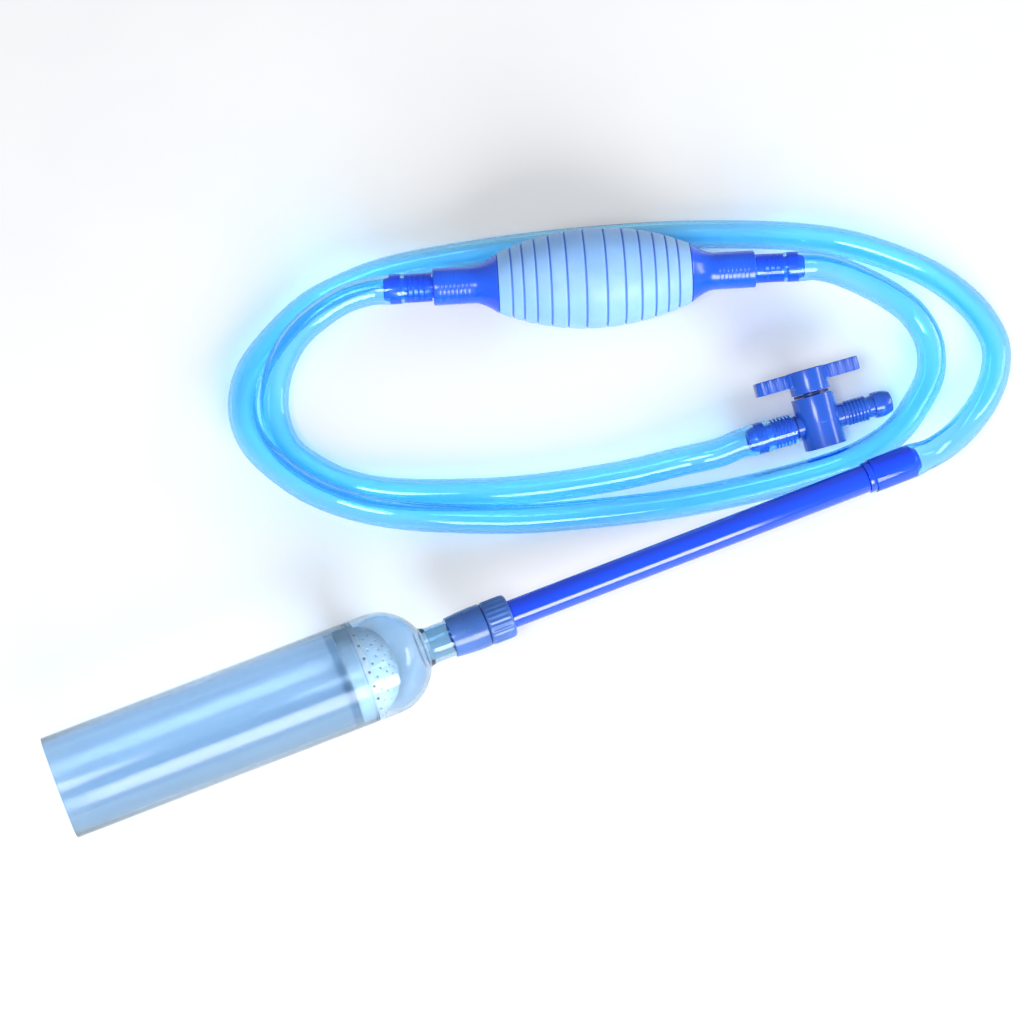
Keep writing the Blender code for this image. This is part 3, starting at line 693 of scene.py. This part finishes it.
def rod():
    royal = moulded("royal_blue_plastic", (0.002, 0.046, 0.74), (0.003, 0.070, 0.86), 0.13, 25.0, 0.00001,
                    coat=0.5, stretch=(0.1, 1, 1))
    loop = rounded([(ROD_X, ROD_BORE_R), (ROD_X, ROD_R), (ROD_END, ROD_R), (ROD_END, ROD_BORE_R)])
    finish_piece(turned("blue_rod", loop, 112, WAND), royal, "siphon", "rod_blue", "wand_rod")
    a, plug_r, flange_r = ROD_END + GAP, ROD_BORE_R - 0.25, 8.5
    loop = [(SPIGOT_X, plug_r), (a, plug_r), (a, flange_r), (FLANGE_END, flange_r), (FLANGE_END, SPIGOT_R)]
    loop += [(SPIGOT_END - 3.0, SPIGOT_R, 0.8), (SPIGOT_END, 5.9), (SPIGOT_END, SPIGOT_BORE_R)]
    loop.append((SPIGOT_X, SPIGOT_BORE_R))
    finish_piece(turned("hose_spigot", rounded(loop), 96, WAND), royal, "siphon", "rod_blue",
                 "rod_hose_spigot")


# ---------------------------------------------------------------- bulb

BULB_R, BULB_END_R, BULB_HALF = 27.7, 16.6, 53.25
GROOVES = (5.7, 15.9, 24.8, 32.7, 39.8, 46.1)
GROOVE = ((-0.30, 0.75), (-0.14, 1.2), (0.14, 1.2), (0.30, 0.75))  # (offset, depth) across one groove
CAP_R, CONE_END, CAP_END = 10.3, 66.6, 89.4


def crest(u):
    """Radius of the bulb at distance u from its middle: a circular arc."""
    drop = BULB_R - BULB_END_R
    big = (BULB_HALF ** 2 + drop ** 2) / (2 * drop)
    return BULB_R - big + math.sqrt(big ** 2 - u ** 2)


def bulb():
    edges = [-BULB_HALF] + [-g for g in reversed(GROOVES)] + list(GROOVES) + [BULB_HALF]
    lip = 0.65
    outer = []
    for i, (a, b) in enumerate(zip(edges, edges[1:])):
        low, high = a + (lip if i else 0.0), b - (lip if i < len(edges) - 2 else 0.0)
        for k in range(7):
            u = low + (high - low) * k / 6
            outer.append((u, crest(u) + 0.10 * math.sin(math.pi * k / 6)))
        if i < len(edges) - 2:
            outer += [(b + off, crest(b) - deep) for off, deep in GROOVE]
    neck_r, neck_end, bore, wall = 12.0, 58.8, 9.6, 3.3
    outer += [(BULB_HALF, neck_r), (neck_end, neck_r), (neck_end, bore)]
    inner = [(u, crest(u) - wall) for u in (50.0, 44.0, 38.0, 31.0, 25.0, 18.0, 12.0, 6.0, 0.0)]
    inner += [(-u, r) for u, r in reversed(inner[:-1])]
    loop = rounded(outer + inner + [(-neck_end, bore), (-neck_end, neck_r), (-BULB_HALF, neck_r)], 0.25)

    # Painted shade for the grooves: 0 on the crest, rising to 1 at 0.9 mm below it.
    def depth(x, r):
        if abs(x) >= BULB_HALF - 1.0 or r <= crest(x) - 2.0:
            return 0.0
        return min(1.0, max(0.0, (crest(x) - r) / 0.9))

    # The third colour is the painted shade that the grooves take.
    rubber = ribbed("light_blue_rubber", (0.255, 0.49, 0.93), (0.305, 0.56, 0.97), (0.14, 0.31, 0.78), 0.45)
    finish_piece(turned("ribbed_bulb", loop, 144, BULB, shade=depth), rubber, "siphon", "bulb_light_blue",
                 "bulb_shell")


def bulb_ends():
    blue = moulded("cap_blue_plastic", (0.006, 0.080, 0.82), (0.012, 0.120, 0.92), 0.22, 40.0, 0.00002,
                   coat=0.2, soft=0.04)
    for side, place in (("inlet", BULB), ("outlet", OUTLET)):
        front = BULB_HALF + GAP
        loop = [(front, 12.3), (front, BULB_END_R + 0.1, 0.8)]
        for k in range(1, 11):
            t = k / 10
            flare = (BULB_END_R + 0.1 - CAP_R) * (1 - t) ** 1.6
            loop.append((front + (CONE_END - front) * t, CAP_R + flare))
        for k in range(8):
            u = 68.6 + 2.3 * k
            loop += [(u, CAP_R), (u + 0.35, CAP_R - 0.09), (u + 0.7, CAP_R)]
        loop += [(CAP_END, CAP_R, 1.0), (CAP_END, 8.35), (64.5, 8.35), (64.5, 4.4), (62.5, 4.4)]
        loop += [(59.2, 8.4), (59.2, 12.3)]
        finish_piece(turned("bulb_" + side + "_cone", rounded(loop), 112, place), blue, "siphon", "cap_blue",
                     "bulb_" + side + "_cap")
        loop = [(71.0, 4.2), (71.0, 8.1)]
        for k in range(4):
            loop += [(75.0 + 3.2 * k, 8.1), (76.2 + 3.2 * k, 7.5)]
        loop += [(CAP_END, 8.1), (CAP_END, 6.0)]
        for k in range(4):
            loop += [(94.0 + 3.0 * k, 6.35), (94.8 + 3.0 * k, 6.0)]
        loop += [(106.9, 6.0), (107.4, 6.95), (113.5, 6.95, 0.8), (BARB_TIP, 5.9, 0.7), (BARB_TIP, 4.2)]
        finish_piece(turned("bulb_" + side + "_tail", rounded(loop, 0.2), 96, place), blue, "siphon",
                     "cap_blue", "bulb_" + side + "_barb")


# ---------------------------------------------------------------- tap

BARREL_R, BARREL_H, HANDLE_HALF, BOSS_U = 11.65, 29.0, 29.4, 13.2


def tap(blue):
    loop = [(0.0, 0.0), (0.0, BARREL_R, 0.7), (13.6, BARREL_R), (13.7, BARREL_R + 0.2)]
    loop += [(BARREL_H, BARREL_R + 0.2), (BARREL_H, 0.0)]
    body = upright("tap_barrel", rounded(loop), 128, TAP_FOOT)
    boss_r, port_r, reach, well_r, floor_w = 6.5, 5.15, 14.0, 8.2, 2.0
    side = turned("side", [(-BOSS_U, 0.0), (-BOSS_U, boss_r), (BOSS_U, boss_r), (BOSS_U, 0.0)], 96, TAP)
    combine(body, [side], "UNION")
    above = BARREL_H + 1.0
    well = upright("well", [(floor_w, 0.0), (floor_w, well_r), (above, well_r), (above, 0.0)], 96, TAP_FOOT)
    cross = turned("cross", [(-reach, 0.0), (-reach, port_r), (reach, port_r), (reach, 0.0)], 80, TAP)
    combine(body, [well, cross], "DIFFERENCE")
    finish_piece(body, blue, "siphon", "tap_blue", "tap_body")
    for name, place in (("inlet", TAP_BACK), ("outlet", TAP)):
        loop = [(9.0, 3.4), (9.0, 4.9), (BOSS_U + 0.3, 4.9), (BOSS_U + 0.3, 6.3), (15.4, 6.3)]
        for k in range(6):
            u = 15.9 + 2.0 * k
            loop += [(u, 6.9), (u + 1.2, 6.9), (u + 1.5, 6.2)]
        loop += [(28.2, 5.9), (31.0, 5.9), (31.4, 7.2), (37.0, 7.2, 1.2), (TAP_TIP, 5.6, 1.2), (TAP_TIP, 3.4)]
        finish_piece(turned("tap_" + name + "_tail", rounded(loop, 0.25), 96, place), blue, "siphon",
                     "tap_blue", "tap_" + name + "_barb")
    low, high, bore, rim = BARREL_H + GAP, BARREL_H + 1.8, 4.9, 9.8
    loop = rounded([(low, bore), (low, rim), (high, rim), (high, bore)])
    # The recessed collar between barrel and hub is a real part, but its dark navy is painted shade for the
    # gap there.
    navy = moulded("collar_painted_shade", (0.010, 0.03, 0.20), (0.016, 0.05, 0.28), 0.35, 80.0)
    finish_piece(upright("tap_collar", loop, 96, TAP_FOOT), navy, "siphon", "tap_blue", "tap_retainer_ring")


def wing_outline(inset):
    """Plan of the T-handle's wings, with fluted edges and rounded ends, drawn in by inset."""
    side = []
    steps = 150
    for k in range(steps + 1):
        u = -HANDLE_HALF + 2 * HANDLE_HALF * k / steps
        away = abs(u)
        flute = 0.45 * math.cos(2 * math.pi * (away - 27.0) / 4.6)
        half = 4.9 + (flute if away > 11.0 else 0.45)
        tip = HANDLE_HALF - away
        if tip < 2.0:
            half = min(half, 3.4 + 0.75 * math.sqrt(max(0.0, tip * 2.0)))
        side.append((u * (HANDLE_HALF - inset) / HANDLE_HALF, half - inset))
    return [(u, -h) for u, h in side] + [(u, h) for u, h in reversed(side)]


def layered(name, layers, place):
    """Closed solid through outlines of one point count: layers holds (z, outline)."""
    verts = [(x, y, z) for z, outline in layers for x, y in outline]
    n = len(layers[0][1])
    faces = [list(range(n - 1, -1, -1)), list(range(len(verts) - n, len(verts)))]
    for i in range(len(layers) - 1):
        for k in range(n):
            m = (k + 1) % n
            faces.append([i * n + k, i * n + m, (i + 1) * n + m, (i + 1) * n + k])
    return link(name, verts, faces, place)


def handle(blue):
    hub = [(31.1, 0.0), (31.1, 10.85, 0.4), (43.9, 10.85, 0.7), (43.9, 0.0)]
    obj = upright("tee_handle", rounded(hub), 128, TAP_FOOT)
    ease, low, high = 0.7, 36.0, 43.6
    layers = []
    for k in range(5):
        a = math.pi / 2 * k / 4
        layers.append((low + ease * (1 - math.cos(a)), ease * (1 - math.sin(a))))
    layers += [(high - z + low, inset) for z, inset in reversed(layers)]
    wings = layered("wings", [(z, wing_outline(inset)) for z, inset in layers], TAP_FOOT)
    combine(obj, [wings], "UNION")
    bore = upright("bore", [(30.0, 0.0), (30.0, 4.8), (37.4, 4.8), (37.4, 0.0)], 64, TAP_FOOT)
    combine(obj, [bore], "DIFFERENCE")
    finish_piece(obj, blue, "tap_plug", "tap_blue", "tap_handle")


def tap_group():
    blue = moulded("tap_blue_plastic", (0.006, 0.070, 0.50), (0.012, 0.110, 0.62), 0.26, 50.0, 0.00001,
                   coat=0.5)
    tap(blue)
    handle(blue)


def inner_pieces():
    """Pieces inside the shells keep their CAD meshes."""
    rubber = moulded("black_rubber", (0.02, 0.02, 0.022), (0.035, 0.035, 0.04), 0.5, 400.0, coords="Object")
    white = moulded("valve_white_plastic", (0.74, 0.77, 0.80), (0.82, 0.85, 0.88), 0.4, 300.0,
                    coords="Object")
    navy = moulded("plug_blue_plastic", (0.02, 0.07, 0.50), (0.03, 0.10, 0.62), 0.3, 60.0, coords="Object")
    kept = {
        "coupling_o_ring": rubber, "tap_lower_o_ring": rubber, "tap_upper_o_ring": rubber,
        "bulb_inlet_seat": rubber, "bulb_outlet_seat": rubber, "coupling_slip_ring": white,
        "bulb_inlet_valve_disc": white, "bulb_outlet_valve_disc": white, "tap_plug": navy,
    }
    for node, mat in kept.items():
        data = frame["nodes"][node].data
        data.materials.clear()
        data.materials.append(mat)


camera()
hoses()
gravel_tube()
strainer()
coupling()
rod()
bulb()
bulb_ends()
tap_group()
inner_pieces()
studio()
